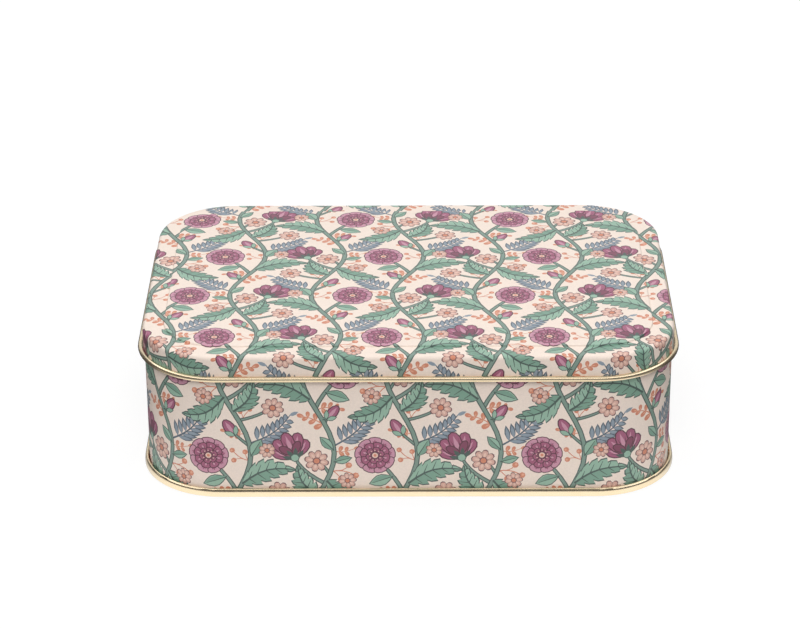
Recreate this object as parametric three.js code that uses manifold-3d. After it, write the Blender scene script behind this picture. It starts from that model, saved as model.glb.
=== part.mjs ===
// A flat rectangular tinplate box with large round corners and a shallow lift-off lid.
// Lengths are in millimetres, +Z is up and +Y is the back. The origin is where the middle of the box
// meets the table.
//
// The box is three pressings of one thin sheet. The wall is a strip bent round into a ring and locked at
// the centre of the back. The base is folded round the wall's foot in a double seam. The lid slips over
// the wall and rests on its rolled top edge.
//
// Every pressing is drawn as the middle line of its sheet, seen in a cut through one side of the box.
// In a cut, "out" is the distance out from the wall's outer face and z is the height above the table.

import * as THREE from 'three';
import { mergeVertices } from 'three/addons/utils/BufferGeometryUtils.js';
import Module from 'manifold-3d';

// The wall, measured outside
const wallLength = 195;
const wallWidth = 135;
const wallTop = 55.6;
const wallCornerRadius = 28.7;
const wallCurl = 1.85;

// The sheet that every pressing is made of, and the slit left where a rolled edge meets its own sheet
const sheet = 0.25;
const curlSlit = 0.4;

// The double seam at the foot
const seamHeight = 3;
const seamGap = 0.35;
const footBend = 0.5;

// The base, whose panel is sunk between the seams and has a raised field
const baseRecess = 3.2;
const baseBend = 0.8;
const baseMargin = 9;
const baseStepWidth = 1.5;
const baseRise = 0.6;

// The lid
const lidClearance = 0.3;
const lidDepth = 9.4;
const lidCurl = 2.2;
const shoulderRadius = 2.5;
const lidMargin = 7.7;
const lidStepWidth = 1.3;
const lidRise = 0.7;

// The lock seam up the back of the wall
const lockWidth = 4.5;
const lockRelief = 1;
const lockLayers = 3;

// How finely bends, the box's corners and the lock seam's fold are cut into flats
const bendStep = Math.PI / 8;
const cornerSteps = 8;
const foldSteps = 3;

// The middle lines of the sheets side by side in the double seam, from the inside out
const seamPitch = sheet + seamGap;
const wallLine = -sheet / 2;
const countersinkLine = wallLine - seamPitch;
const baseHookLine = wallLine + seamPitch;
const wallHookLine = baseHookLine + seamPitch;
const seamFaceLine = wallHookLine + seamPitch;

// Heights in the double seam
const footLine = sheet / 2;
const wallHookBendZ = footLine + seamPitch * 2;
const baseFoldZ = seamHeight - sheet / 2 - seamPitch;
const wallHookEndZ = baseFoldZ + seamPitch - sheet / 2 - seamGap;
const baseHookEndZ = wallHookBendZ - seamPitch + sheet / 2 + seamGap;

// Heights of the base
const baseMarginLine = baseRecess + sheet / 2;
const baseFieldLine = baseMarginLine + baseRise;

// Heights of the lid, which sinks until the wall's rolled edge nests in its shoulder or meets its margin
const wallCurlZ = wallTop - wallCurl / 2;
const lidSeat = Math.max(shoulderRadius, wallCurl / 2 + lidClearance + sheet);
const lidMarginTop = wallCurlZ + lidSeat;
const lidMarginLine = lidMarginTop - sheet / 2;
const lidFieldLine = lidMarginLine + lidRise;
const skirtLine = lidClearance + sheet / 2;

const wasm = await Module();
wasm.setup();

/** The angle that a rolled edge turns through, from its sheet round to a slit short of it again. */
function curlTurn(diameter) {
  const outer = diameter / 2;
  return Math.PI + Math.acos((sheet + curlSlit - outer) / outer);
}

/** Adds a soft step that runs outwards from a point of the middle line and falls by drop. */
function addStep(line, out, z, width, drop) {
  const turn = 2 * Math.atan(drop / width);
  const radius = width / (2 * Math.sin(turn));
  const up = Math.PI / 2;
  line.absarc(out, z - radius, radius, up, up - turn, true);
  line.absarc(out + width, z - drop + radius, radius, 3 * up - turn, 3 * up, false);
}

/** The closed outline of a sheet in a cut: its right side along the middle line, then its left side back. */
function sheetOutline(line) {
  const right = [];
  const left = [];
  for (const [index, curve] of line.curves.entries()) {
    const turn = curve.isEllipseCurve ? Math.abs(curve.aEndAngle - curve.aStartAngle) : 0;
    const steps = Math.max(1, Math.round(turn / bendStep));
    for (let step = index === 0 ? 0 : 1; step <= steps; step += 1) {
      const middle = curve.getPoint(step / steps);
      const along = curve.getTangent(step / steps);
      const side = new THREE.Vector2(along.y, -along.x).multiplyScalar(sheet / 2);
      right.push(middle.clone().add(side));
      left.push(middle.clone().sub(side));
    }
  }
  return { right, left };
}

/** The places round the box's plan where a cut is taken, each with its corner's centre and direction. */
function planStations() {
  const stations = [];
  const x = wallLength / 2 - wallCornerRadius;
  const y = wallWidth / 2 - wallCornerRadius;
  const corners = [[x, y], [-x, y], [-x, -y], [x, -y]];
  for (const [corner, [centreX, centreY]] of corners.entries()) {
    for (let step = 0; step <= cornerSteps; step += 1) {
      const angle = (corner + step / cornerSteps) * Math.PI / 2;
      stations.push({ centreX, centreY, alongX: Math.cos(angle), alongY: Math.sin(angle) });
    }
  }
  return stations;
}

/**
 * Carries a sheet's cut once round the box's plan. A pressing with a panel starts at the panel's edge,
 * and both faces of the panel are then filled across the middle.
 */
function carryRound(line, hasPanel) {
  const { right, left } = sheetOutline(line);
  const outline = [...right, ...left.toReversed()];
  const stations = planStations();
  const positions = [];
  for (const { centreX, centreY, alongX, alongY } of stations) {
    for (const { x: out, y: z } of outline) {
      const reach = wallCornerRadius + out;
      positions.push(centreX + alongX * reach, centreY + alongY * reach, z);
    }
  }

  const triangles = [];
  const size = outline.length;
  const sides = hasPanel ? size - 1 : size;
  for (let here = 0; here < stations.length; here += 1) {
    const next = (here + 1) % stations.length;
    for (let point = 0; point < sides; point += 1) {
      const a = here * size + point;
      const b = here * size + (point + 1) % size;
      const c = next * size + (point + 1) % size;
      const d = next * size + point;
      triangles.push(a, d, c, a, c, b);
    }
  }

  if (hasPanel) {
    const underside = positions.length / 3;
    positions.push(0, 0, right[0].y, 0, 0, left[0].y);
    for (let here = 0; here < stations.length; here += 1) {
      const next = (here + 1) % stations.length;
      triangles.push(underside, next * size, here * size);
      triangles.push(underside + 1, here * size + size - 1, next * size + size - 1);
    }
  }

  const geometry = new THREE.BufferGeometry();
  geometry.setAttribute('position', new THREE.Float32BufferAttribute(positions, 3));
  geometry.setIndex(triangles);
  return geometry;
}

/** A closed geometry as a solid that can be joined and cut. */
function toSolid(geometry) {
  const bare = geometry.clone();
  bare.deleteAttribute('normal');
  bare.deleteAttribute('uv');
  const merged = mergeVertices(bare, sheet / 1000);
  return new wasm.Manifold(new wasm.Mesh({
    numProp: 3,
    vertProperties: new Float32Array(merged.attributes.position.array),
    triVerts: new Uint32Array(merged.index.array),
  }));
}

/** A solid back as a geometry. */
function toGeometry(solid) {
  const mesh = solid.getMesh();
  const geometry = new THREE.BufferGeometry();
  geometry.setAttribute('position', new THREE.Float32BufferAttribute(mesh.vertProperties, 3));
  geometry.setIndex(Array.from(mesh.triVerts));
  return geometry;
}

/** A plan outline raised from one height to another, with y as depth into the box from the back's outer face. */
function raiseAtBack(outline, fromZ, toZ) {
  const geometry = new THREE.ExtrudeGeometry(outline, {
    depth: toZ - fromZ,
    bevelEnabled: false,
    curveSegments: foldSteps,
  });
  geometry.rotateZ(Math.PI);
  geometry.translate(0, wallWidth / 2, fromZ);
  return geometry;
}

/**
 * The ridge of the lock seam inside the wall. Each end of the strip is hooked into the other, so three
 * more layers lie inside the outer one: a joggle leads into them on one side, a fold ends them on the other.
 */
function lockRidgeOutline() {
  const depth = sheet * lockLayers;
  const half = lockWidth / 2;
  const outline = new THREE.Shape();
  outline.moveTo(-half - depth, sheet / 2);
  outline.lineTo(half, sheet / 2);
  outline.lineTo(half, sheet);
  outline.absarc(half, sheet + depth / 2, depth / 2, -Math.PI / 2, Math.PI / 2, false);
  outline.lineTo(-half, sheet + depth);
  outline.lineTo(-half - depth, sheet);
  outline.closePath();
  return outline;
}

/** The line that the lock seam leaves outside, where one end of the strip dips under the fold of the other. */
function lockGrooveOutline() {
  const middle = -(lockWidth + sheet * lockLayers) / 2;
  const outline = new THREE.Shape();
  outline.moveTo(middle - sheet, -sheet);
  outline.lineTo(middle + sheet, -sheet);
  outline.lineTo(middle, sheet / 2);
  outline.closePath();
  return outline;
}

/** The lid: raised field, margin, round shoulder, skirt and an edge rolled outwards. */
function lidGeometry() {
  const bend = shoulderRadius - sheet / 2;
  const curlRadius = (lidCurl - sheet) / 2;
  const curlZ = lidMarginTop - lidDepth + lidCurl / 2;
  const stepOut = lidClearance + sheet - lidMargin - lidStepWidth;
  const line = new THREE.Path();
  addStep(line, stepOut, lidFieldLine, lidStepWidth, lidRise);
  line.absarc(skirtLine - bend, lidMarginLine - bend, bend, Math.PI / 2, 0, true);
  line.absarc(skirtLine + curlRadius, curlZ, curlRadius, Math.PI, Math.PI + curlTurn(lidCurl), false);
  return carryRound(line, true);
}

/** The wall: a hook turned out and up at the foot, the upright strip, and an edge rolled inwards at the top. */
function wallGeometry() {
  const curlRadius = (wallCurl - sheet) / 2;
  const line = new THREE.Path();
  line.moveTo(wallHookLine, wallHookEndZ);
  line.lineTo(wallHookLine, wallHookBendZ);
  line.absarc(baseHookLine, wallHookBendZ, seamPitch, 0, -Math.PI, true);
  line.absarc(wallLine - curlRadius, wallCurlZ, curlRadius, 0, curlTurn(wallCurl), false);
  const ring = toSolid(carryRound(line, false));

  const lockFoot = baseFieldLine + lockRelief;
  const lockTop = wallTop - wallCurl - lockRelief;
  const ridge = toSolid(raiseAtBack(lockRidgeOutline(), lockFoot, lockTop));
  const groove = toSolid(raiseAtBack(lockGrooveOutline(), lockFoot, lockTop));
  return toGeometry(ring.add(ridge).subtract(groove));
}

/** The base: raised field, sunk margin, countersink wall, foot, and the fold that grips the wall's hook. */
function baseGeometry() {
  const up = Math.PI / 2;
  const stepOut = countersinkLine - baseMargin - baseStepWidth;
  const line = new THREE.Path();
  addStep(line, stepOut, baseFieldLine, baseStepWidth, baseRise);
  line.absarc(countersinkLine - baseBend, baseMarginLine - baseBend, baseBend, up, 0, true);
  line.absarc(countersinkLine + footBend, footLine + footBend, footBend, 2 * up, 3 * up, false);
  line.absarc(seamFaceLine - footBend, footLine + footBend, footBend, 3 * up, 4 * up, false);
  line.absarc(wallHookLine, baseFoldZ, seamPitch, 0, 2 * up, false);
  line.lineTo(baseHookLine, baseHookEndZ);
  return carryRound(line, true);
}

function printedTinplate() {
  return new THREE.MeshStandardMaterial({ color: 0xdccabd, roughness: 0.4, metalness: 0.1 });
}

function goldLacquer() {
  return new THREE.MeshStandardMaterial({ color: 0xd9bd86, roughness: 0.3, metalness: 0.9 });
}

const box = new THREE.Group();
const pieces = [
  ['body_wall', wallGeometry(), printedTinplate()],
  ['base_panel', baseGeometry(), goldLacquer()],
  ['lid', lidGeometry(), printedTinplate()],
];
for (const [name, geometry, material] of pieces) {
  const mesh = new THREE.Mesh(geometry, material);
  mesh.name = name;
  box.add(mesh);
}

export default box;
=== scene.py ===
"""Dresses a flat tinplate keepsake box: a printed wall, a gold-lacquered base and a printed lift-off lid.

Each pressing is a thin sheet. Its cut through one side of the box is drawn once, with "out" as the distance
out from the wall's outer face, and carried round the box's plan. The print is laid out flat, cut into the
sheet's face along the edge of every ink, and bent with the sheet.
"""

import math

import bmesh
import bpy
from mathutils import Matrix, Vector, geometry


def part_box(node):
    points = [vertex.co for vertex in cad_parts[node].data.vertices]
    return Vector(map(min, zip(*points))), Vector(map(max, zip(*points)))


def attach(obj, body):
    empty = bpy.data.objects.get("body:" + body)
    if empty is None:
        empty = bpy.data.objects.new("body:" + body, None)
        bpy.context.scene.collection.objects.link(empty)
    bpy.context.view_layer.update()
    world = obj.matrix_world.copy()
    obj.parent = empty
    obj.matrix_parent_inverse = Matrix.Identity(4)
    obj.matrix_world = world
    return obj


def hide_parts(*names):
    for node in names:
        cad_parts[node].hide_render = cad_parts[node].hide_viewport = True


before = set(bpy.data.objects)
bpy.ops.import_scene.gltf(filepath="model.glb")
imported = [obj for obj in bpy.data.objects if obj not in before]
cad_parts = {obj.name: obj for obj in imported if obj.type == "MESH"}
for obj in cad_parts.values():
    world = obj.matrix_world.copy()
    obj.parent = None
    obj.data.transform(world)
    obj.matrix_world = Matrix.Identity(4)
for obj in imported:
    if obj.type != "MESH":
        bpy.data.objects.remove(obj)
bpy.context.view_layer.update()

MM = 0.001
RIGHT_ANGLE = math.pi / 2

# Sizes of the sheet and its bends. They are the CAD pieces' sizes, but that the lid's shoulder and step are
# tighter and its skirt a little deeper, and the double seam is higher, with a rounded face.
SHEET = 0.25 * MM
CORNER = 28.7 * MM
LID_CLEARANCE = 0.3 * MM
LID_CURL = 2.2 * MM
LID_DEEPER = 0.3 * MM
SHOULDER = 1.5 * MM
LID_MARGIN = 7.7 * MM
LID_STEP = 0.7 * MM
LID_RISE = 0.7 * MM
WALL_CURL = 1.85 * MM
LID_SEAT_GAP = 0.02 * MM
SEAM_HEIGHT = 3.3 * MM
SEAM_GAP = 0.35 * MM
SEAM_LEAN = math.radians(36)
SEAM_LEAN_BEND = 2.25 * MM
FOOT_BEND = 0.5 * MM
BASE_RECESS = 3.2 * MM
BASE_BEND = 0.8 * MM
BASE_MARGIN = 9 * MM
BASE_STEP = 1.5 * MM
BASE_RISE = 0.6 * MM
LOCK_WIDTH = 4.5 * MM
LOCK_RELIEF = 1 * MM
LOCK_LAYERS = 3

# The rolled edges close up against their own sheet, with a slit as fine as on the real tin
CURL_SLIT = 0.04 * MM

# How finely bends and the box's corners are rounded
BEND_STEP = math.radians(12)
CORNER_STEPS = 16

lid_low, lid_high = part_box("lid")
wall_low, wall_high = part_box("body_wall")
WALL_X = lid_high[0] - LID_CLEARANCE - LID_CURL
WALL_Y = lid_high[1] - LID_CLEARANCE - LID_CURL
CENTRE_X = WALL_X - CORNER
CENTRE_Y = WALL_Y - CORNER

# Middle lines of the sheets side by side in the double seam, from the inside out
SEAM_PITCH = SHEET + SEAM_GAP
WALL_LINE = -SHEET / 2
COUNTERSINK_LINE = WALL_LINE - SEAM_PITCH
BASE_HOOK_LINE = WALL_LINE + SEAM_PITCH
WALL_HOOK_LINE = BASE_HOOK_LINE + SEAM_PITCH
SEAM_FACE_LINE = WALL_HOOK_LINE + SEAM_PITCH
SKIRT_LINE = LID_CLEARANCE + SHEET / 2

# Heights
FOOT_LINE = SHEET / 2
WALL_HOOK_Z = FOOT_LINE + SEAM_PITCH * 2
LID_FIELD_LINE = lid_high[2] - SHEET / 2
LID_MARGIN_LINE = LID_FIELD_LINE - LID_RISE
WALL_CURL_Z = LID_MARGIN_LINE - SHEET / 2 - LID_SEAT_GAP - WALL_CURL / 2
LID_CURL_Z = lid_low[2] + LID_CURL / 2 - LID_DEEPER
BASE_MARGIN_LINE = BASE_RECESS + SHEET / 2
BASE_FIELD_LINE = BASE_MARGIN_LINE + BASE_RISE
BASE_HOOK_END = 1.2 * MM
WALL_HOOK_END = 2.2 * MM
LOCK_FOOT = 4.925 * MM
LOCK_TOP = 52.75 * MM

# The line that the lock seam leaves on the back
LOCK_X = (LOCK_WIDTH + SHEET * LOCK_LAYERS) / 2

# The printed part of each face ends just short of the rolled edge and inside the seam
LID_PRINT_END = 0.2 * MM
WALL_PRINT_LOW = 1.6 * MM
WALL_PRINT_HIGH = 55.4 * MM

# Places on the flat print are in millimetres, and points closer than this are one
WELD = 0.00001
GAP_WELD = 0.001 * MM

GOLD = 0
PRINTED = 1


def srgb(code):
    """An sRGB hex colour as linear red, green, blue and alpha."""
    values = [int(code[start : start + 2], 16) / 255 for start in (1, 3, 5)]
    linear = [v / 12.92 if v <= 0.04045 else ((v + 0.055) / 1.055) ** 2.4 for v in values]
    return (*linear, 1.0)


# Cuts through the sheet


def bend(out, z, radius, start, end):
    """Points of a middle line round a bend, each with its side: the direction to the line's left."""
    steps = max(1, round(abs(end - start) / BEND_STEP))
    side = -1 if end > start else 1
    points = []
    for step in range(steps + 1):
        angle = start + (end - start) * step / steps
        away = Vector((math.cos(angle), math.sin(angle)))
        points.append((Vector((out, z)) + away * radius, away * side))
    return points


def soft_step(out, z, width, drop):
    """A step that runs outwards from a point of the middle line and falls by drop."""
    turn = 2 * math.atan(drop / width)
    radius = width / (2 * math.sin(turn))
    top = bend(out, z - radius, radius, RIGHT_ANGLE, RIGHT_ANGLE - turn)
    foot = bend(out + width, z - drop + radius, radius, 3 * RIGHT_ANGLE - turn, 3 * RIGHT_ANGLE)
    return top + foot[1:]


def curl_turn(diameter):
    """The angle that a rolled edge turns through, from its sheet round to a slit short of it again."""
    outer = diameter / 2
    return math.pi + math.acos((SHEET + CURL_SLIT - outer) / outer)


def left_face(line):
    return [(point + side * (SHEET / 2), side) for point, side in line]


def right_face(line):
    return [(point - side * (SHEET / 2), -side) for point, side in line]


# Carrying a cut round the plan


def plan_station(x, y):
    """The corner centre that a place in the plan is measured from, and the direction from it."""
    centre = Vector((max(-CENTRE_X, min(CENTRE_X, x)), max(-CENTRE_Y, min(CENTRE_Y, y))))
    return centre, (Vector((x, y)) - centre).normalized()


def corner_stations():
    """The corner centre and the direction of every station round the plan, from the right end of the back."""
    corners = [(CENTRE_X, CENTRE_Y), (-CENTRE_X, CENTRE_Y), (-CENTRE_X, -CENTRE_Y), (CENTRE_X, -CENTRE_Y)]
    stations = []
    for number, corner in enumerate(corners):
        for step in range(CORNER_STEPS + 1):
            angle = (number + step / CORNER_STEPS) * RIGHT_ANGLE
            stations.append((Vector(corner), Vector((math.cos(angle), math.sin(angle)))))
    return stations


def start_ring(bm, stations, place, side):
    """A ring of vertices at a place of the cut, one at each station, as a loop of edges."""
    bend_normal = bm.verts.layers.float_vector["bend_normal"]
    ring = []
    for centre, outward in stations:
        spot = centre + outward * (CORNER + place.x)
        vert = bm.verts.new((spot.x, spot.y, place.y))
        vert[bend_normal] = (outward.x * side.x, outward.y * side.x, side.y)
        ring.append(vert)
    return [bm.edges.new((ring[here - 1], ring[here])) for here in range(len(ring))]


def carry(bm, edges, rows):
    """Extrudes a loop of edges through the rows of a cut, and gives back the last loop."""
    bend_normal = bm.verts.layers.float_vector["bend_normal"]
    for place, side in rows:
        grown = bmesh.ops.extrude_edge_only(bm, edges=edges)["geom"]
        new_verts = {item for item in grown if isinstance(item, bmesh.types.BMVert)}
        for vert in new_verts:
            centre, outward = plan_station(vert.co.x, vert.co.y)
            spot = centre + outward * (CORNER + place.x)
            vert.co = (spot.x, spot.y, place.y)
            vert[bend_normal] = (outward.x * side.x, outward.y * side.x, side.y)
        new_edges = [item for item in grown if isinstance(item, bmesh.types.BMEdge)]
        for edge in new_edges:
            for face in edge.link_faces:
                face.material_index = GOLD
        edges = [edge for edge in new_edges if new_verts.issuperset(edge.verts)]
    return edges


def fill_panel(bm, edges, z_side):
    """Closes the last loop of a pressing with its flat panel."""
    made = bmesh.ops.contextual_create(bm, geom=edges)["faces"]
    made[0].material_index = GOLD
    bend_normal = bm.verts.layers.float_vector["bend_normal"]
    for vert in made[0].verts:
        vert[bend_normal] = (0, 0, z_side)


def new_sheet():
    """An empty mesh whose vertices keep the true direction of the bent sheet's face, and its faces their ink."""
    bm = bmesh.new()
    bm.verts.layers.float_vector.new("bend_normal")
    bm.loops.layers.float_color.new("ink")
    return bm


# The print: a generic floral of swaying stems, as flat shapes in millimetres. Each shape is an ink and its
# outline, and a later shape lies over an earlier one.

INKS = {
    "cream": srgb("#F9E8DB"),
    "outline": srgb("#4E5F59"),
    "leaf": srgb("#9ABCA8"),
    "leaf_shade": srgb("#7FA491"),
    "stem": srgb("#829A8E"),
    "plum_outline": srgb("#5F3844"),
    "plum": srgb("#A8607D"),
    "plum_light": srgb("#CE97AB"),
    "plum_deep": srgb("#85485F"),
    "dusty_outline": srgb("#80595A"),
    "dusty": srgb("#DFB3A4"),
    "dusty_light": srgb("#EDCBBC"),
    "salmon": srgb("#D98D70"),
    "salmon_light": srgb("#E9AE92"),
    "slate": srgb("#919EAA"),
    "slate_outline": srgb("#5D6975"),
}

# The stem group is drawn 50.9 mm wide, and printed larger so that ten repeats go round the wall
REPEAT_WIDTH = 50.9
REPEAT_HEIGHT = 58
SWAY = 5
PRINT_SCALE = ((CENTRE_X + CENTRE_Y) * 4 + math.tau * CORNER) / MM / 10 / REPEAT_WIDTH


def egg(length, width, skew=0.25, steps=5):
    """A petal from its foot at the origin along x, widest towards its tip."""
    side = []
    for step in range(1, steps):
        turn = math.pi * step / steps
        side.append((length * (1 - math.cos(turn)) / 2, width / 2 * math.sin(turn) * (1 - skew * math.cos(turn))))
    return [(0, 0)] + [(x, -y) for x, y in side] + [(length, 0)] + side[::-1]


def almond(length, width, steps=4):
    """A slim pointed leaflet from its foot at the origin along x."""
    side = [(length * step / steps, width / 2 * math.sin(math.pi * step / steps)) for step in range(1, steps)]
    return [(0, 0)] + [(x, -y) for x, y in side] + [(length, 0)] + side[::-1]


def ring(radius, steps=8, x=0, y=0):
    return [
        (x + radius * math.cos(math.tau * step / steps), y + radius * math.sin(math.tau * step / steps))
        for step in range(steps)
    ]


def ribbon(points, start, end):
    """A stroke along a line, tapering from its start width to its end width."""
    left, right = [], []
    for here, (x, y) in enumerate(points):
        ahead = points[min(here + 1, len(points) - 1)]
        behind = points[max(here - 1, 0)]
        dx, dy = ahead[0] - behind[0], ahead[1] - behind[1]
        length = math.hypot(dx, dy)
        half = (start + (end - start) * here / (len(points) - 1)) / 2
        left.append((x - dy / length * half, y + dx / length * half))
        right.append((x + dy / length * half, y - dx / length * half))
    return left + right[::-1]


def curve(start, pull, end, steps=5):
    """A line that leaves its start towards pull and comes from there to its end."""
    points = []
    for step in range(steps + 1):
        t = step / steps
        a, b, c = (1 - t) ** 2, 2 * t * (1 - t), t * t
        points.append((a * start[0] + b * pull[0] + c * end[0], a * start[1] + b * pull[1] + c * end[1]))
    return points


def inset(points, distance):
    """The same outline drawn in by a distance."""
    area = sum(a[0] * b[1] - b[0] * a[1] for a, b in zip(points, points[1:] + points[:1]))
    side = 1 if area > 0 else -1
    moved = []
    for here, point in enumerate(points):
        before, after = points[here - 1], points[(here + 1) % len(points)]
        in_x, in_y = point[0] - before[0], point[1] - before[1]
        out_x, out_y = after[0] - point[0], after[1] - point[1]
        in_length, out_length = math.hypot(in_x, in_y), math.hypot(out_x, out_y)
        normal_x = -(in_y / in_length + out_y / out_length)
        normal_y = in_x / in_length + out_x / out_length
        size = math.hypot(normal_x, normal_y)
        reach = distance * min(2 / max(size, 0.01), 2.2)
        moved.append((point[0] + side * normal_x / size * reach, point[1] + side * normal_y / size * reach))
    return moved


def placed(shapes, x, y, turn=0, size=1, flip=False):
    """Shapes moved to a place, turned by degrees, scaled and, if need be, mirrored."""
    cos, sin = math.cos(math.radians(turn)) * size, math.sin(math.radians(turn)) * size
    mirror = -1 if flip else 1
    return [
        (ink, [(x + px * cos - py * mirror * sin, y + px * sin + py * mirror * cos) for px, py in points])
        for ink, points in shapes
    ]


def outlined(points, outline, fill, width=0.38):
    return [(outline, points), (fill, inset(points, width))]


def bloom(radius=8.0):
    """A full round bloom seen face on: three rings of petals round a dotted eye."""
    shapes = []
    rings = [
        (9, 0.0, 0.46, 1.0, 5.6, "plum_light", "plum"),
        (8, 20.0, 0.28, 0.74, 4.1, "plum", "plum_light"),
        (6, 8.0, 0.1, 0.47, 2.9, "plum", "plum_deep"),
    ]
    for count, shift, foot, tip, width, fill, vein in rings:
        length = radius * (tip - foot)
        petal = outlined(egg(length, width, 0.3, 6), "plum_outline", fill, 0.36)
        petal.append((vein, almond(length * 0.7, width * 0.3, 3)))
        for side in (-1, 1):
            petal += placed([("plum_outline", almond(length * 0.62, 0.28, 2))], 0.3, 0, side * 20)
        for number in range(count):
            angle = shift + number * 360 / count
            x = math.cos(math.radians(angle)) * radius * foot
            y = math.sin(math.radians(angle)) * radius * foot
            shapes += placed(petal, x, y, angle)
    shapes.append(("plum_outline", ring(radius * 0.2, 10)))
    shapes.append(("dusty_light", ring(radius * 0.15, 9)))
    for number in range(9):
        shapes += placed([("dusty_light", ring(0.27, 5, radius * 0.27))], 0, 0, number * 40)
    shapes.append(("salmon", ring(radius * 0.08, 6)))
    return shapes


def half_bloom(length=11.0):
    """A bloom half open, seen from the side: petals fanned out of a green cup."""
    shapes = []
    for turn, reach in ((-52, 0.8), (52, 0.8), (-27, 0.95), (27, 0.95), (0, 1.0)):
        petal = outlined(egg(length * reach, length * 0.44, 0.3, 6), "plum_outline", "plum", 0.36)
        petal.append(("plum_light", almond(length * reach * 0.86, length * 0.15, 3)))
        for side in (-1, 1):
            petal += placed([("plum_outline", almond(length * reach * 0.75, 0.3, 3))], 0, 0, side * 11)
        shapes += placed(petal, 0, 0, turn)
    for turn in (-40, 40):
        petal = outlined(egg(length * 0.55, length * 0.3, 0.1), "plum_outline", "plum_deep", 0.34)
        shapes += placed(petal, 1.2, 0, turn)
    for turn in (-62, 62, -22, 22):
        shapes += placed([("outline", almond(length * 0.42, length * 0.16, 3))], -0.4, 0, turn)
    shapes += outlined(ring(length * 0.16, 7), "outline", "leaf", 0.28)
    return shapes


def bud(length=6.0):
    """A closed bud in two sepals."""
    shapes = outlined(egg(length, length * 0.6, -0.1, 6), "plum_outline", "plum", 0.36)
    shapes.append(("plum_light", almond(length * 0.85, length * 0.2, 3)))
    for turn in (-34, 34):
        shapes += placed(outlined(almond(length * 0.62, length * 0.3), "outline", "leaf", 0.22), -0.5, 0, turn)
    return shapes


def daisy(radius=4.0):
    """A small round flower of eight petals."""
    steps = 32
    edge = []
    for step in range(steps):
        turn = math.tau * step / steps
        reach = radius * (0.74 + 0.26 * abs(math.cos(4 * turn)) ** 0.7)
        edge.append((math.cos(turn) * reach, math.sin(turn) * reach))
    shapes = [("dusty_outline", edge)]
    petal = [("dusty", egg(radius * 0.64, radius * 0.46, 0.35, 5))]
    petal.append(("dusty_light", almond(radius * 0.5, radius * 0.2, 3)))
    for number in range(8):
        x = math.cos(math.radians(number * 45)) * radius * 0.25
        y = math.sin(math.radians(number * 45)) * radius * 0.25
        shapes += placed(petal, x, y, number * 45)
    shapes.append(("dusty_outline", ring(radius * 0.32, 8)))
    shapes.append(("salmon", ring(radius * 0.24, 7)))
    return shapes


def leaf(length=22.0, width=9.0, bow=0.16, teeth=6):
    """A toothed leaf on a bowed rib, lighter on one side of it, with side veins."""

    def rib(t):
        return length * t, bow * length * math.sin(math.pi * t)

    def half_width(t):
        return width / 2 * math.sin(math.pi * t**0.72) ** 0.85

    def edge(side, drawn_in):
        points = []
        for tooth in range(teeth):
            for share, reach in ((0.0, 0.76), (0.3, 1.0), (0.78, 1.14)):
                t = (tooth + share) / teeth
                x, y = rib(t)
                half = max(half_width(t) * reach - drawn_in, 0.1)
                points.append((x + half * 0.3 * share, y + side * half))
        return points[1:]

    middle = [rib(step / 6) for step in range(6)] + [rib(0.95)]
    lower, upper = edge(-1, 0.42), edge(1, 0.42)
    shapes = [("outline", [(0, 0)] + edge(-1, 0) + [rib(1)] + edge(1, 0)[::-1])]
    shapes.append(("leaf_shade", middle[:1] + lower + middle[-1:] + upper[::-1]))
    shapes.append(("leaf", middle + upper[::-1]))
    for number in range(1, teeth):
        t = number / teeth
        x, y = rib(t - 0.02)
        half = half_width(t) * 0.72
        for side in (-1, 1):
            end = (x + half * 0.75, y + side * half)
            shapes.append(("outline", ribbon([(x, y), end], 0.34, 0.14)))
    shapes.append(("outline", ribbon(middle, 0.7, 0.35)))
    return shapes


def small_leaf(length=10.0, width=4.2):
    """A plain pointed leaf with a rib."""
    shapes = outlined(almond(length, width, 5), "outline", "leaf", 0.28)
    shapes.append(("leaf_shade", [(0, 0)] + [(x, y) for x, y in almond(length * 0.92, width * 0.75, 5) if y <= 0][1:]))
    shapes.append(("outline", ribbon([(0, 0), (length * 0.85, 0)], 0.35, 0.15)))
    return shapes


def fern(length=24.0, pairs=8, bow=0.12):
    """A slate-blue frond of narrow leaflets."""
    shapes = []
    line = []
    for step in range(9):
        t = step / 8
        line.append((length * t, bow * length * math.sin(math.pi * t * 0.9)))
    for number in range(pairs):
        t = 0.16 + 0.8 * number / pairs
        x, y = length * t, bow * length * math.sin(math.pi * t * 0.9)
        reach = length * 0.27 * (1 - t) ** 0.6 + 1.2
        for side in (-1, 1):
            leaflet = [("slate_outline", almond(reach, 1.75, 4)), ("slate", almond(reach * 0.86, 1.15, 3))]
            shapes += placed(leaflet, x, y, side * 52)
    shapes.append(("slate_outline", ribbon(line, 0.6, 0.3)))
    shapes += placed([("slate", almond(3.2, 1.3, 3))], line[-1][0] - 0.5, line[-1][1], -15)
    return shapes


def stem_x(y):
    return SWAY * math.sin(math.tau * y / REPEAT_HEIGHT)


def stem(points, start, end):
    return [("outline", ribbon(points, start + 0.7, end + 0.6)), ("stem", ribbon(points, start, end))]


def tendril(size=1.0, berries=3):
    """A fine salmon twig with berries at the ends of its curls."""
    shapes = [("salmon", ribbon(curve((0, 0), (4, 1.5), (8, -0.5), 4), 0.42, 0.25))]
    ends = ((8.2, -0.6), (5.6, 2.9), (3.6, -2.4))[:berries]
    for x, y in ends:
        shapes.append(("salmon", ribbon(curve((x - 3.2, 0.5), (x - 1, y * 0.3), (x, y), 3), 0.35, 0.25)))
        shapes.append(("salmon", ring(1.1, 7, x, y)))
        shapes.append(("salmon_light", ring(0.5, 5, x + 0.2, y + 0.2)))
    return placed(shapes, 0, 0, 0, size)


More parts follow.
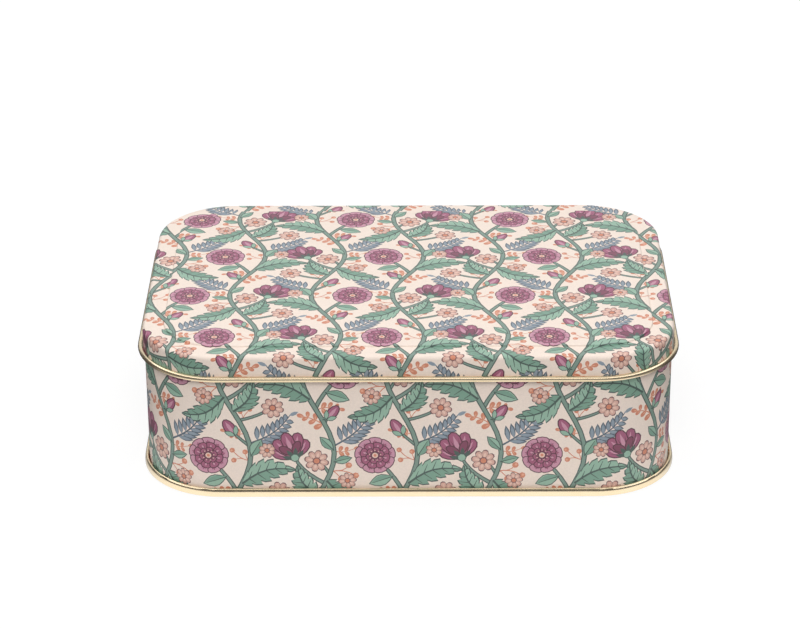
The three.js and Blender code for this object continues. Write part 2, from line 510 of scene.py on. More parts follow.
def leafy_sprig(size=1.0, pairs=3):
    """A fine salmon twig with small drop-shaped leaves."""
    shapes = [("salmon", ribbon(curve((0, 0), (4, 1.8), (9, 0), 4), 0.42, 0.25))]
    leaflet = [("salmon", egg(3.0, 1.9, 0.2)), ("salmon_light", almond(1.9, 0.6, 2))]
    for number in range(pairs):
        x = 2.2 + number * 2.6
        for side in (-1, 1):
            shapes += placed(leaflet, x, 0.9 - abs(number - 1) * 0.35, side * 58, 1 - number * 0.14)
    shapes += placed(leaflet, 8.6, 0.1, -12, 0.8)
    return placed(shapes, 0, 0, 0, size)


def stem_group():
    """What grows on one stem over one repeat. The stem sways to the right in its lower half."""
    h = REPEAT_HEIGHT
    shapes = []
    # Fronds, tendrils and twigs behind the stem
    shapes += placed(fern(18, 8), stem_x(46), 46, 130)
    shapes += placed(fern(16, 7, -0.12), stem_x(18), 18, 40)
    shapes += placed(tendril(0.95), stem_x(37), 37.2, 186, 1, True)
    shapes += placed(leafy_sprig(0.95), stem_x(52), 52, 30)
    shapes += placed(leafy_sprig(0.7, 2), stem_x(44), 44.3, 172)
    shapes += placed(tendril(0.8, 3), stem_x(12), 12, 150)
    shapes += placed(tendril(0.7, 2), stem_x(24), 24.5, 68)
    shapes += placed(leafy_sprig(0.8), stem_x(0.5), 0.5, 178, 1, True)
    shapes += placed(leafy_sprig(0.7, 2), stem_x(22), 21.5, 172)
    shapes += stem(curve((stem_x(1), 1), (-2, 7), (-8.5, 13.5)), 0.8, 0.6)
    shapes += stem(curve((stem_x(33), 33), (5, 37), (7.0, 42)), 0.8, 0.5)
    shapes += stem(curve((stem_x(36), 36), (-3, 38), (-0.2, 40.6)), 0.5, 0.4)
    shapes += stem(curve((stem_x(26), 26), (7, 27), (11.5, 30)), 0.5, 0.4)
    shapes += stem(curve((stem_x(17), 17), (2.5, 19), (0.3, 21.2)), 0.5, 0.4)
    shapes += stem(curve((stem_x(-7), -7), (-1.5, -4), (-3.2, -2.4)), 0.5, 0.4)
    line = [(stem_x(h * step / 16), h * step / 16) for step in range(17)]
    shapes += stem(line, 1.0, 1.0)
    # Leaves
    shapes += placed(leaf(17.5, 7.6, 0.14), stem_x(4), 4, 16)
    shapes += placed(leaf(15.5, 7.2, 0.15), stem_x(34), 34, 207)
    shapes += placed(leaf(12.5, 6.4, -0.16), stem_x(29), 29, 60)
    shapes += placed(small_leaf(7), stem_x(13.5), 13.5, 60)
    shapes += placed(small_leaf(8), -2.5, 6.5, 200)
    shapes += placed(small_leaf(6.5, 3.2), stem_x(44.5), 44.5, 48)
    shapes += placed(small_leaf(6, 3.0), stem_x(40.5), 40.5, 165)
    shapes += placed(small_leaf(5.5, 2.8), stem_x(55), 55, 150)
    # Flowers
    shapes += placed(bloom(8), -8.0, 13.8, 10, 0.8)
    shapes += placed(half_bloom(9.4), 7.0, 42.0, 70)
    shapes += placed(bud(6.2), 0.3, 21.0, 122)
    shapes += placed(bud(5.8), -3.0, -2.6, 128)
    shapes += placed(daisy(3.9), 0.4, 40.9, 12)
    shapes += placed(daisy(3.6), 12.0, 30.2, 30)
    shapes += placed(daisy(2.9), -16.5, 5.0, 8)
    shapes += placed(daisy(2.7), 10.0, 15.6, 20)
    return shapes


def floral_print(left, low, right, high):
    """Every shape of the print that reaches into a rectangle, of two stems a repeat, the second one mirrored."""
    left, low, right, high = (edge / PRINT_SCALE for edge in (left, low, right, high))
    stems = []
    for row in range(math.floor(low / REPEAT_HEIGHT) - 1, math.ceil(high / REPEAT_HEIGHT) + 1):
        for column in range(math.floor(left / REPEAT_WIDTH) - 1, math.ceil(right / REPEAT_WIDTH) + 2):
            stems.append((column * REPEAT_WIDTH, row * REPEAT_HEIGHT, 1))
            stems.append(((column + 0.5) * REPEAT_WIDTH, (row + 0.5) * REPEAT_HEIGHT, -1))
    laid = []
    for ink, points in stem_group():
        for stem_left, stem_low, side in stems:
            moved = [(stem_left + side * x, stem_low + y) for x, y in points]
            across = [x for x, _ in moved]
            up = [y for _, y in moved]
            if max(across) > left and min(across) < right and max(up) > low and min(up) < high:
                laid.append((ink, [(x * PRINT_SCALE, y * PRINT_SCALE) for x, y in moved]))
    return laid


# Laying the flat print into a sheet's face


def signed_area(points):
    return sum(a[0] * b[1] - b[0] * a[1] for a, b in zip(points, points[1:] + points[:1])) / 2


def trimmed(points, trim):
    """A shape cut off at a convex trim line, which runs anticlockwise."""
    for a, b in zip(trim, trim[1:] + trim[:1]):
        inside = [(b[0] - a[0]) * (p[1] - a[1]) - (b[1] - a[1]) * (p[0] - a[0]) for p in points]
        if min(inside) >= 0:
            continue
        kept = []
        for here, point in enumerate(points):
            before = inside[here - 1]
            if (before < 0) != (inside[here] < 0):
                share = before / (before - inside[here])
                last = points[here - 1]
                kept.append((last[0] + (point[0] - last[0]) * share, last[1] + (point[1] - last[1]) * share))
            if inside[here] >= 0:
                kept.append(point)
        if len(kept) < 3:
            return []
        points = kept
    return points


def holds(points, x, y):
    """Whether a place lies inside a shape."""
    inside = False
    for (a_x, a_y), (b_x, b_y) in zip(points, points[1:] + points[:1]):
        if (a_y > y) != (b_y > y) and x < a_x + (b_x - a_x) * (y - a_y) / (b_y - a_y):
            inside = not inside
    return inside


def lay_print(bm, outline, fold_lines, shapes, trim, to_space):
    """Cuts a flat sheet along its folds and along every printed shape, and bends it into place."""
    flat = [Vector(point) for point in outline]
    faces = [list(range(len(flat)))]
    laid = [("cream", outline)]
    folds = []
    for line in fold_lines:
        folds += [(len(flat) + step, len(flat) + step + 1) for step in range(len(line) - 1)]
        flat += [Vector(point) for point in line]
    for ink, points in shapes:
        points = trimmed(points, trim)
        if len(points) < 3:
            continue
        if signed_area(points) < 0:
            points = points[::-1]
        faces.append(list(range(len(flat), len(flat) + len(points))))
        flat += [Vector(point) for point in points]
        laid.append((ink, points))
    spots, edges, cells, _, edge_owners, owners = geometry.delaunay_2d_cdt(flat, folds, faces, 1, WELD, True)

    # What lies hidden under later shapes is dissolved, and only folds and the edges of inks stay
    edges_before = len(bm.edges)
    verts = [bm.verts.new((spot.x, spot.y, 0)) for spot in spots]
    order = list(INKS)
    for cell, owner in zip(cells, owners):
        face = bm.faces.new([verts[corner] for corner in cell])
        middle = face.calc_center_median()
        top = next((number for number in sorted(owner)[::-1] if holds(laid[number][1], middle.x, middle.y)), 0)
        face.material_index = order.index(laid[top][0])
        face.tag = True
    for (start, end), owner in zip(edges, edge_owners):
        if owner and min(owner) < len(folds):
            bm.edges.get((verts[start], verts[end])).seam = True
    bm.normal_update()
    bmesh.ops.dissolve_limit(
        bm,
        angle_limit=math.radians(0.2),
        verts=[vert for vert in verts if not vert.is_boundary],
        edges=list(bm.edges)[edges_before:],
        delimit={"MATERIAL", "SEAM"},
    )
    bmesh.ops.triangulate(bm, faces=[face for face in bm.faces if face.tag])

    bend_normal = bm.verts.layers.float_vector["bend_normal"]
    ink_layer = bm.loops.layers.float_color["ink"]
    colours = list(INKS.values())
    printed = [face for face in bm.faces if face.tag]
    for vert in {vert for face in printed for vert in face.verts}:
        vert.co, vert[bend_normal] = to_space(vert.co.x, vert.co.y)
    for face in printed:
        for loop in face.loops:
            loop[ink_layer] = colours[face.material_index]
        face.material_index = PRINTED
    for edge in bm.edges:
        edge.seam = False


def weld(bm):
    """Joins parts of a sheet along their open edges, and leaves out faces too thin to see or lying back to back."""
    bmesh.ops.remove_doubles(bm, verts=[vert for vert in bm.verts if vert.is_boundary], dist=GAP_WELD)
    bmesh.ops.dissolve_degenerate(bm, edges=bm.edges, dist=GAP_WELD)
    bm.verts.index_update()
    on_corners = {}
    for face in bm.faces:
        on_corners.setdefault(tuple(sorted(vert.index for vert in face.verts)), []).append(face)
    flaps = [face for faces in on_corners.values() if len(faces) > 1 for face in faces]
    bmesh.ops.delete(bm, geom=flaps, context="FACES")
    bmesh.ops.delete(bm, geom=[edge for edge in bm.edges if edge.is_wire], context="EDGES")
    bmesh.ops.delete(bm, geom=[vert for vert in bm.verts if not vert.link_faces], context="VERTS")


def between_rows(rows, reaches, reach):
    """The place in a cut, and the side there, at a distance over the sheet's face from the panel's middle."""
    for (here, side_here), (there, side_there), low, high in zip(rows, rows[1:], reaches, reaches[1:]):
        if reach <= high:
            share = max(0.0, (reach - low) / (high - low))
            return here.lerp(there, share), side_here.lerp(side_there, share).normalized()
    return rows[-1]


# The lid


def lid_line():
    """The cut of the lid: its raised field, sunk margin and shoulder, and the edge rolled outwards."""
    turn = SHOULDER - SHEET / 2
    curl = (LID_CURL - SHEET) / 2
    line = soft_step(LID_CLEARANCE + SHEET - LID_MARGIN - LID_STEP, LID_FIELD_LINE, LID_STEP, LID_RISE)
    line += bend(SKIRT_LINE - turn, LID_MARGIN_LINE - turn, turn, RIGHT_ANGLE, 0)
    return line, bend(SKIRT_LINE + curl, LID_CURL_Z, curl, math.pi, math.pi + curl_turn(LID_CURL))


def make_lid():
    line, curl = lid_line()
    printed = left_face(line)
    printed.append((Vector((printed[-1][0].x, LID_CURL_Z + LID_PRINT_END)), Vector((1, 0))))
    reaches = [CORNER + printed[0][0].x]
    for (here, _), (there, _) in zip(printed, printed[1:]):
        reaches.append(reaches[-1] + (there - here).length)

    def flat_place(centre, outward, reach):
        return tuple((centre + outward * reach) / MM)

    def to_space(x, y):
        x, y = x * MM, y * MM
        centre, outward = plan_station(x, y)
        reach = (Vector((x, y)) - centre).length
        if reach <= reaches[0]:
            return (x, y, lid_high[2]), (0, 0, 1)
        place, side = between_rows(printed, reaches, reach)
        spot = centre + outward * (CORNER + place.x)
        return (spot.x, spot.y, place.y), (outward.x * side.x, outward.y * side.x, side.y)

    stations = corner_stations()
    rings = [[flat_place(*station, reach) for station in stations] for reach in reaches]
    fold_lines = [ring + ring[:1] for ring in rings[:-1]]
    fold_lines += [list(spokes) for spokes in zip(*rings)]
    trim = [flat_place(*station, reaches[-1] - 0.15 * MM) for station in stations]

    half_x = (CENTRE_X + reaches[-1]) / MM
    half_y = (CENTRE_Y + reaches[-1]) / MM
    # The wide field is cut in strips as well, so that no piece of it is large
    fold_lines += [[(x, -half_y + 5), (x, half_y - 5)] for x in range(-60, 61, 15)]
    shapes = floral_print(-half_x, -half_y, half_x, half_y)
    bm = new_sheet()
    edges = start_ring(bm, stations, *printed[-1])
    edges = carry(bm, edges, left_face(curl))
    edges = carry(bm, edges, right_face(line + curl)[::-1])
    fill_panel(bm, edges, -1)
    lay_print(bm, rings[-1], fold_lines, shapes, trim, to_space)
    weld(bm)
    return finish_sheet(bm, "printed_lid")


# The wall


def wall_line():
    """The cut of the wall: the hook turned up at its foot, and the edge rolled inwards at its top."""
    curl = (WALL_CURL - SHEET) / 2
    hook = [(Vector((WALL_HOOK_LINE, WALL_HOOK_END)), Vector((-1, 0)))]
    hook += bend(BASE_HOOK_LINE, WALL_HOOK_Z, SEAM_PITCH, 0, -math.pi)
    return hook, bend(WALL_LINE - curl, WALL_CURL_Z, curl, 0, curl_turn(WALL_CURL))


WALL_WALK = [
    (Vector((-CENTRE_X, CENTRE_Y)), RIGHT_ANGLE, CENTRE_X + LOCK_X),
    (Vector((-CENTRE_X, -CENTRE_Y)), RIGHT_ANGLE * 2, CENTRE_Y * 2),
    (Vector((CENTRE_X, -CENTRE_Y)), RIGHT_ANGLE * 3, CENTRE_X * 2),
    (Vector((CENTRE_X, CENTRE_Y)), 0, CENTRE_Y * 2),
]
WALL_AROUND = (CENTRE_X + CENTRE_Y) * 4 + math.tau * CORNER


def walk_wall(length):
    """The point and direction that the wall's outer face is drawn from, at a length round it from the lock seam."""
    for corner, angle, straight in WALL_WALK:
        if length <= straight:
            along = Vector((-math.sin(angle), math.cos(angle)))
            return corner - along * (straight - length), Vector((math.cos(angle), math.sin(angle)))
        length -= straight
        if length <= CORNER * RIGHT_ANGLE:
            angle += length / CORNER
            return corner, Vector((math.cos(angle), math.sin(angle)))
        length -= CORNER * RIGHT_ANGLE
    return WALL_WALK[-1][0] - Vector((length, 0)), Vector((0, 1))


# The back of the wall across its lock seam, from the end of the print to its start: the distance round
# the wall from the seam's line, and the depth there. One end dips under the rounded fold of the other.
LOCK_DIP = [(-0.75, 0), (-0.45, 0.04), (-0.2, 0.15), (0, 0.21), (0.06, 0.12), (0.16, 0.04), (0.35, 0), (0.6, 0)]


def make_wall():
    low, high = WALL_PRINT_LOW / MM, WALL_PRINT_HIGH / MM
    start = LOCK_DIP[-1][0]
    end = WALL_AROUND / MM + LOCK_DIP[0][0]
    dip_heights = [low, LOCK_FOOT / MM, LOCK_FOOT / MM + 0.5, LOCK_TOP / MM - 0.5, LOCK_TOP / MM, high]

    def to_space(x, z):
        centre, outward = walk_wall(x * MM)
        spot = centre + outward * CORNER
        return (spot.x, spot.y, z * MM), (outward.x, outward.y, 0)

    around = []
    turned = 0
    for _, _, straight in WALL_WALK:
        turned += straight
        around += [turned + CORNER * RIGHT_ANGLE * step / CORNER_STEPS for step in range(CORNER_STEPS + 1)]
        turned += CORNER * RIGHT_ANGLE
    folds = [[(x / MM, low), (x / MM, high)] for x in around]
    outline = [(start, low), (end, low)]
    outline += [(end, z) for z in dip_heights[1:-1]]
    outline += [(end, high), (start, high)]
    outline += [(start, z) for z in dip_heights[-2:0:-1]]
    edge = 0.25
    trim = [
        (start + edge, low + edge),
        (end - edge, low + edge),
        (end - edge, high - edge),
        (start + edge, high - edge),
    ]

    bm = new_sheet()
    hook, curl = wall_line()
    stations = [walk_wall(x) for x in around]
    stations += [(Vector((LOCK_X - along * MM, CENTRE_Y)), Vector((0, 1))) for along, _ in LOCK_DIP]
    edges = start_ring(bm, stations, Vector((0, WALL_PRINT_HIGH)), Vector((1, 0)))
    edges = carry(bm, edges, right_face(curl))
    edges = carry(bm, edges, left_face(hook + curl)[::-1])
    edges = carry(bm, edges, right_face(hook))
    carry(bm, edges, [(Vector((0, WALL_PRINT_LOW)), Vector((1, 0)))])
    lay_print(bm, outline, folds, floral_print(start, low, end, high), trim, to_space)
    bend_normal = bm.verts.layers.float_vector["bend_normal"]
    rows = []
    for z in dip_heights:
        row = []
        for along, depth in LOCK_DIP:
            if z in dip_heights[:2] + dip_heights[-2:]:
                depth = 0
            vert = bm.verts.new((LOCK_X - along * MM, WALL_Y - depth * MM, z * MM))
            vert[bend_normal] = (0, 1, 0)
            row.append(vert)
        rows.append(row)
    for under, over in zip(rows, rows[1:]):
        for here in range(len(LOCK_DIP) - 1):
            bm.faces.new((under[here], under[here + 1], over[here + 1], over[here]))
    for here, (along, depth) in enumerate(LOCK_DIP[1:-1], 1):
        slope = Vector((LOCK_DIP[here - 1][1] - LOCK_DIP[here + 1][1], LOCK_DIP[here + 1][0] - LOCK_DIP[here - 1][0]))
        slope.normalize()
        for row in rows[2:-2]:
            row[here][bend_normal] = (slope.x, slope.y, 0)
    weld(bm)
    add_lock_ridge(bm)
    return finish_sheet(bm, "printed_wall")


def add_lock_ridge(bm):
    """The hooked ends of the strip, pressed flat inside the back wall: a ramp into them and a fold at their end."""
    bend_normal = bm.verts.layers.float_vector["bend_normal"]
    depth = SHEET * LOCK_LAYERS
    half = LOCK_WIDTH / 2
    section = [(half + depth, -SHEET / 2), (half + depth, 0), (half, depth)]
    for step in range(9):
        angle = RIGHT_ANGLE - math.pi * step / 8
        section.append((-half - math.cos(angle) * depth / 2, depth / 2 + math.sin(angle) * depth / 2))
    section.append((-half, -SHEET / 2))
    inner_y = WALL_Y - SHEET
    ends = []
    for z, shrink in ((LOCK_FOOT, 0.6), (LOCK_FOOT + 0.2 * MM, 1), (LOCK_TOP - 0.2 * MM, 1), (LOCK_TOP, 0.6)):
        ring = []
        for x, into in section:
            vert = bm.verts.new((x, inner_y - into * shrink, z))
            vert[bend_normal] = (0, -1, 0)
            ring.append(vert)
        ends.append(ring)
    for under, over in zip(ends, ends[1:]):
        for here in range(len(section)):
            bm.faces.new((under[here - 1], under[here], over[here], over[here - 1]))
    bm.faces.new(ends[0])
    bm.faces.new(ends[-1])


# The base


def base_line():
    """The cut of the base: raised field, sunk margin, foot, and the fold that grips the wall's hook."""
    line = soft_step(COUNTERSINK_LINE - BASE_MARGIN - BASE_STEP, BASE_FIELD_LINE, BASE_STEP, BASE_RISE)
    line += bend(COUNTERSINK_LINE - BASE_BEND, BASE_MARGIN_LINE - BASE_BEND, BASE_BEND, RIGHT_ANGLE, 0)
    line += bend(COUNTERSINK_LINE + FOOT_BEND, FOOT_LINE + FOOT_BEND, FOOT_BEND, math.pi, 3 * RIGHT_ANGLE)
    line += bend(SEAM_FACE_LINE - FOOT_BEND, FOOT_LINE + FOOT_BEND, FOOT_BEND, 3 * RIGHT_ANGLE, math.tau)
    # The roller leaves the upper part of the seam's face rounded inwards, to a tighter fold over the hook
    lean_end = SEAM_FACE_LINE - SEAM_LEAN_BEND * (1 - math.cos(SEAM_LEAN))
    fold = (lean_end - BASE_HOOK_LINE) / (1 + math.cos(SEAM_LEAN))
    fold_z = SEAM_HEIGHT - SHEET / 2 - fold
    lean_z = fold_z - (SEAM_LEAN_BEND - fold) * math.sin(SEAM_LEAN)
    line += bend(SEAM_FACE_LINE - SEAM_LEAN_BEND, lean_z, SEAM_LEAN_BEND, 0, SEAM_LEAN)
    line += bend(BASE_HOOK_LINE + fold, fold_z, fold, SEAM_LEAN, math.pi)
    line.append((Vector((BASE_HOOK_LINE, BASE_HOOK_END)), Vector((-1, 0))))
    return line


def make_base():
    line = base_line()
    inside = left_face(line)
    bm = new_sheet()
    first = start_ring(bm, corner_stations(), *inside[0])
    edges = carry(bm, first, inside[1:])
    edges = carry(bm, edges, right_face(line)[::-1])
    fill_panel(bm, edges, -1)
    fill_panel(bm, first, 1)
    return finish_sheet(bm, "gold_base")


# Finishing a piece


def finish_sheet(bm, name):
    """Makes the object, shaded by the true direction of the bent sheet rather than by its facets."""
    bmesh.ops.recalc_face_normals(bm, faces=bm.faces)
    for face in bm.faces:
        face.smooth = True
    mesh = bpy.data.meshes.new(name)
    bm.to_mesh(mesh)
    bm.free()
    piece = bpy.data.objects.new(name, mesh)
    bpy.context.scene.collection.objects.link(piece)
    sides = [item.vector.copy() for item in mesh.attributes["bend_normal"].data]
    mesh.normals_split_custom_set_from_vertices(sides)
    mesh.attributes.remove(mesh.attributes["bend_normal"])
    mesh.materials.append(gold_lacquered_tinplate)
    mesh.materials.append(printed_tinplate)
    return piece


# Materials


def add_node(tree, kind, settings=None, inputs=None):
    """Adds a node. Settings are its own values, and inputs are values for its sockets or the sockets that feed them."""
    made = tree.nodes.new(kind)
    for name, value in (settings or {}).items():
        setattr(made, name, value)
    for name, value in (inputs or {}).items():
        if isinstance(value, bpy.types.NodeSocket):
            tree.links.new(value, made.inputs[name])
        else:
            made.inputs[name].default_value = value
    return made


def new_material(name):
    material = bpy.data.materials.new(name)
    material.use_nodes = True
    tree = material.node_tree
    tree.nodes.clear()
    return material, tree


def make_gold_lacquered_tinplate():
    """Tinplate rolled bright, under a clear gold-tinted lacquer: a warm pale gold metal with soft reflections."""
    material, tree = new_material("gold_lacquered_tinplate")
    place = add_node(tree, "ShaderNodeTexCoord").outputs["Object"]
    # The rolled grain runs along the sheet, 0.25 mm wide and 6 mm long, and blurs reflections unevenly
    along = add_node(tree, "ShaderNodeMapping", inputs={"Vector": place, "Scale": (160, 4000, 4000)})
    grain = add_node(tree, "ShaderNodeTexNoise", inputs={"Vector": along.outputs[0], "Scale": 1, "Detail": 2})
    roughness = add_node(
        tree,
        "ShaderNodeMapRange",
        inputs={"Value": grain.outputs["Fac"], "From Min": 0.3, "From Max": 0.7, "To Min": 0.2, "To Max": 0.26},
    )
    # Lacquer flows a little unevenly over some 10 mm before it is baked
    flow = add_node(tree, "ShaderNodeTexNoise", inputs={"Vector": place, "Scale": 100, "Detail": 1})
    colour = add_node(
        tree,
        "ShaderNodeMix",
        {"data_type": "RGBA"},
        {"Factor": flow.outputs["Fac"], "A": srgb("#F5E2C0"), "B": srgb("#EFD9B2")},
    )
    bump = add_node(
        tree,
        "ShaderNodeBump",
        inputs={"Height": grain.outputs["Fac"], "Strength": 0.01, "Distance": 0.00001},
    )
    surface = add_node(
        tree,
        "ShaderNodeBsdfPrincipled",
        inputs={
            "Base Color": colour.outputs["Result"],
            "Metallic": 1,
            "Roughness": roughness.outputs["Result"],
            "Coat Weight": 0.6,
            "Coat Roughness": 0.12,
            "Normal": bump.outputs["Normal"],
        },
    )
    add_node(tree, "ShaderNodeOutputMaterial", inputs={"Surface": surface.outputs["BSDF"]})
    return material


def make_printed_tinplate():
    """Lithographed inks on a cream coat under satin varnish: flat colours, with a soft sheen over them all."""
    material, tree = new_material("lithographed_tinplate")
    ink = add_node(tree, "ShaderNodeVertexColor", {"layer_name": "ink"})
    place = add_node(tree, "ShaderNodeTexCoord").outputs["Object"]
    # Ink lies a little unevenly, in blotches of about 0.6 mm
    mottle = add_node(tree, "ShaderNodeTexNoise", inputs={"Vector": place, "Scale": 1700, "Detail": 2})
    uneven = add_node(
        tree,
        "ShaderNodeMapRange",
        inputs={"Value": mottle.outputs["Fac"], "From Min": 0.25, "From Max": 0.75, "To Min": 0.94, "To Max": 1.03},
    )
    colour = add_node(
        tree,
        "ShaderNodeVectorMath",
        {"operation": "SCALE"},
        {"Vector": ink.outputs["Color"], "Scale": uneven.outputs["Result"]},
    )
    # The varnish is rolled on: fine orange peel of about 0.8 mm, and faint waves of some 15 mm
    peel = add_node(tree, "ShaderNodeTexNoise", inputs={"Vector": place, "Scale": 1250, "Detail": 1})
    waves = add_node(tree, "ShaderNodeTexNoise", inputs={"Vector": place, "Scale": 65, "Detail": 1})
    roughness = add_node(
        tree,
        "ShaderNodeMapRange",
        inputs={"Value": waves.outputs["Fac"], "From Min": 0.3, "From Max": 0.7, "To Min": 0.3, "To Max": 0.37},
    )
    fine = add_node(
        tree,
        "ShaderNodeBump",
        inputs={"Height": peel.outputs["Fac"], "Strength": 0.15, "Distance": 0.00001},
    )
    surface = add_node(
        tree,
        "ShaderNodeBsdfPrincipled",
        inputs={
            "Base Color": colour.outputs["Vector"],
            "Roughness": roughness.outputs["Result"],
            "IOR": 1.5,
            "Normal": fine.outputs["Normal"],
        },
    )
    add_node(tree, "ShaderNodeOutputMaterial", inputs={"Surface": surface.outputs["BSDF"]})
    return material


gold_lacquered_tinplate = make_gold_lacquered_tinplate()
printed_tinplate = make_printed_tinplate()

# The pieces

lid = make_lid()
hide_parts("lid")
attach(lid, "lid")

wall = make_wall()
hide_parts("body_wall")
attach(wall, "box")

base = make_base()
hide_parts("base_panel")
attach(base, "box")

# Camera, where the photograph was taken from

camera_data = bpy.data.cameras.new("camera")
camera_data.lens = 129.36
camera_data.sensor_width = 36
camera = bpy.data.objects.new("camera", camera_data)
pitch = Matrix.Rotation(math.radians(64.05), 4, "X")
yaw = Matrix.Rotation(math.radians(0.362), 4, "Z")
roll = Matrix.Rotation(math.radians(-0.292), 4, "Z")
camera.matrix_world = Matrix.Translation((0.003, -0.9908, 0.5232)) @ yaw @ pitch @ roll
bpy.context.scene.collection.objects.link(camera)
bpy.context.scene.camera = camera

# Floor: white to the camera, and darker only where the box shades it

floor_mesh = bpy.data.meshes.new("floor")
floor_bm = bmesh.new()
bmesh.ops.create_grid(floor_bm, x_segments=1, y_segments=1, size=4)
floor_bm.to_mesh(floor_mesh)
floor_bm.free()
floor = bpy.data.objects.new("floor", floor_mesh)
bpy.context.scene.collection.objects.link(floor)
floor_material, tree = new_material("white_studio_paper")
rays = add_node(tree, "ShaderNodeLightPath")
place = add_node(tree, "ShaderNodeTexCoord").outputs["Object"]
# The light that it throws back on the box comes mostly from close by
away = add_node(tree, "ShaderNodeVectorMath", {"operation": "LENGTH"}, {0: place})
close_by = add_node(
    tree,
    "ShaderNodeMapRange",
    {"interpolation_type": "SMOOTHSTEP"},
    {"Value": away.outputs["Value"], "From Min": 0.11, "From Max": 0.18, "To Min": 0.76, "To Max": 0.42},
)
paper_colour = add_node(
    tree,
    "ShaderNodeMix",
    {"data_type": "RGBA"},
    {"Factor": rays.outputs["Is Camera Ray"], "A": close_by.outputs["Result"], "B": srgb("#7F7F7F")},
)
paper = add_node(
    tree,
    "ShaderNodeBsdfPrincipled",
    inputs={
        "Base Color": paper_colour.outputs["Result"],
        "Roughness": 0.9,
        "Specular IOR Level": 0.1,
        "Emission Color": (1, 1, 1, 1),
    },
)
whiter = add_node(tree, "ShaderNodeMath", {"operation": "MULTIPLY"}, {0: rays.outputs["Is Camera Ray"], 1: 0.82})
tree.links.new(whiter.outputs[0], paper.inputs["Emission Strength"])
# In the rims' reflections it is bright in front of the box and darker beside and behind it
parts = add_node(tree, "ShaderNodeSeparateXYZ", inputs={"Vector": place})
near_front = add_node(
    tree,
    "ShaderNodeMapRange",
    {"interpolation_type": "SMOOTHSTEP"},
    {"Value": parts.outputs["Y"], "From Min": -0.02, "From Max": -0.07, "To Min": 0.28, "To Max": 1.2},
)
further_out = add_node(
    tree,
    "ShaderNodeMapRange",
    {"interpolation_type": "SMOOTHSTEP"},
    {"Value": parts.outputs["Y"], "From Min": -0.08, "From Max": -0.13, "To Min": 1, "To Max": 0.66},
)
to_the_side = add_node(tree, "ShaderNodeMath", {"operation": "ABSOLUTE"}, {0: parts.outputs["X"]})
before_box = add_node(
    tree,
    "ShaderNodeMapRange",
    {"interpolation_type": "SMOOTHSTEP"},
    {"Value": to_the_side.outputs[0], "From Min": 0.105, "From Max": 0.15, "To Min": 1, "To Max": 0.3},
)
reflected = add_node(
    tree,
    "ShaderNodeMath",
    {"operation": "MULTIPLY"},
    {0: near_front.outputs["Result"], 1: further_out.outputs["Result"]},
)
reflected = add_node(
    tree,
    "ShaderNodeMath",
    {"operation": "MULTIPLY"},
    {0: reflected.outputs[0], 1: before_box.outputs["Result"]},
)
mirrored = add_node(tree, "ShaderNodeEmission", inputs={"Strength": reflected.outputs[0]})
first_bounce = add_node(
    tree,
    "ShaderNodeMath",
    {"operation": "LESS_THAN"},
    {0: rays.outputs["Diffuse Depth"], 1: 0.5},
)
in_rims = add_node(
    tree,
    "ShaderNodeMath",
    {"operation": "MULTIPLY"},
    {0: rays.outputs["Is Glossy Ray"], 1: first_bounce.outputs[0]},
)
floor_surface = add_node(
    tree,
    "ShaderNodeMixShader",
    inputs={0: in_rims.outputs[0], 1: paper.outputs["BSDF"], 2: mirrored.outputs["Emission"]},
)
# From below, the floor lets the underside of the box be seen
face = add_node(tree, "ShaderNodeNewGeometry")
clear = add_node(tree, "ShaderNodeBsdfTransparent")
floor_surface = add_node(
    tree,
    "ShaderNodeMixShader",
    inputs={0: face.outputs["Backfacing"], 1: floor_surface.outputs["Shader"], 2: clear.outputs["BSDF"]},
)
add_node(tree, "ShaderNodeOutputMaterial", inputs={"Surface": floor_surface.outputs["Shader"]})
floor_mesh.materials.append(floor_material)

# World: a ring of softboxes half way up all round, a dimmer ceiling above it and the dark room below it

world = bpy.data.worlds.new("studio")
world.use_nodes = True
bpy.context.scene.world = world
tree = world.node_tree
tree.nodes.clear()
look = add_node(tree, "ShaderNodeTexCoord").outputs["Generated"]
look = add_node(tree, "ShaderNodeSeparateXYZ", inputs={"Vector": look})
height = look.outputs["Z"]
floor_up = add_node(
    tree,
    "ShaderNodeMapRange",
    inputs={"Value": height, "From Min": -0.06, "From Max": 0, "To Min": 0.8, "To Max": 0.15},
)
ring_low = add_node(
    tree,
    "ShaderNodeMapRange",
    {"interpolation_type": "SMOOTHSTEP"},
    {"Value": height, "From Min": 0.55, "From Max": 0.64, "To Min": 0, "To Max": 2.2},
)
ring_high = add_node(
    tree,
    "ShaderNodeMapRange",
    {"interpolation_type": "SMOOTHSTEP"},
    {"Value": height, "From Min": 0.78, "From Max": 0.86, "To Min": 0, "To Max": 1.5},
)
ring_light = add_node(
    tree,
    "ShaderNodeMath",
    {"operation": "SUBTRACT"},
    {0: ring_low.outputs["Result"], 1: ring_high.outputs["Result"]},
)
strength = add_node(
    tree,
    "ShaderNodeMath",
    {"operation": "ADD"},
    {0: floor_up.outputs["Result"], 1: ring_light.outputs[0]},
)
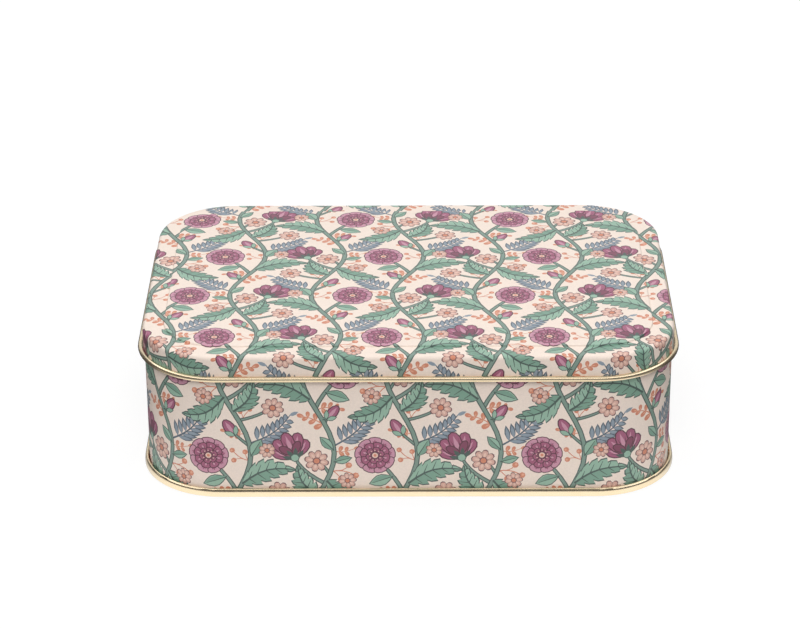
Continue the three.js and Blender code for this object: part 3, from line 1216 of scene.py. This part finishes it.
# Varnish, lacquer and anything clear show the white backdrop behind the box
rays = add_node(tree, "ShaderNodeLightPath")
shown = add_node(
    tree,
    "ShaderNodeMath",
    {"operation": "MAXIMUM"},
    {0: rays.outputs["Is Glossy Ray"], 1: rays.outputs["Is Transmission Ray"]},
)
behind = add_node(
    tree,
    "ShaderNodeMapRange",
    {"interpolation_type": "SMOOTHSTEP"},
    {"Value": look.outputs["Y"], "From Min": 0.55, "From Max": 0.85, "To Min": 0, "To Max": 0.95},
)
above_table = add_node(
    tree,
    "ShaderNodeMapRange",
    {"interpolation_type": "SMOOTHSTEP"},
    {"Value": height, "From Min": -0.05, "From Max": 0.12, "To Min": 0, "To Max": 1},
)
backdrop = add_node(
    tree,
    "ShaderNodeMath",
    {"operation": "MULTIPLY"},
    {0: behind.outputs["Result"], 1: above_table.outputs["Result"]},
)
backdrop = add_node(
    tree,
    "ShaderNodeMath",
    {"operation": "MULTIPLY"},
    {0: backdrop.outputs[0], 1: shown.outputs[0]},
)
strength = add_node(tree, "ShaderNodeMath", {"operation": "MAXIMUM"}, {0: strength.outputs[0], 1: backdrop.outputs[0]})
strength = add_node(
    tree,
    "ShaderNodeMix",
    {"data_type": "FLOAT"},
    {"Factor": rays.outputs["Is Camera Ray"], "A": strength.outputs[0], "B": 1},
)
sky = add_node(tree, "ShaderNodeBackground", inputs={"Strength": strength.outputs["Result"]})
add_node(tree, "ShaderNodeOutputWorld", inputs={"Surface": sky.outputs["Background"]})


def add_softbox(name, place, target, size, power):
    """A square soft lamp at a place, turned to a target."""
    lamp_data = bpy.data.lights.new(name, "AREA")
    lamp_data.size = size
    lamp_data.energy = power
    lamp = bpy.data.objects.new(name, lamp_data)
    lamp.location = place
    lamp.rotation_euler = (Vector(target) - Vector(place)).to_track_quat("-Z", "Y").to_euler()
    bpy.context.scene.collection.objects.link(lamp)
    return lamp


front_lamp = add_softbox("front_softbox", (0, -0.97, 0.9), (0, 0, 0.03), 0.45, 4.4)
front_lamp.visible_glossy = False

bpy.context.scene.view_settings.view_transform = "Standard"
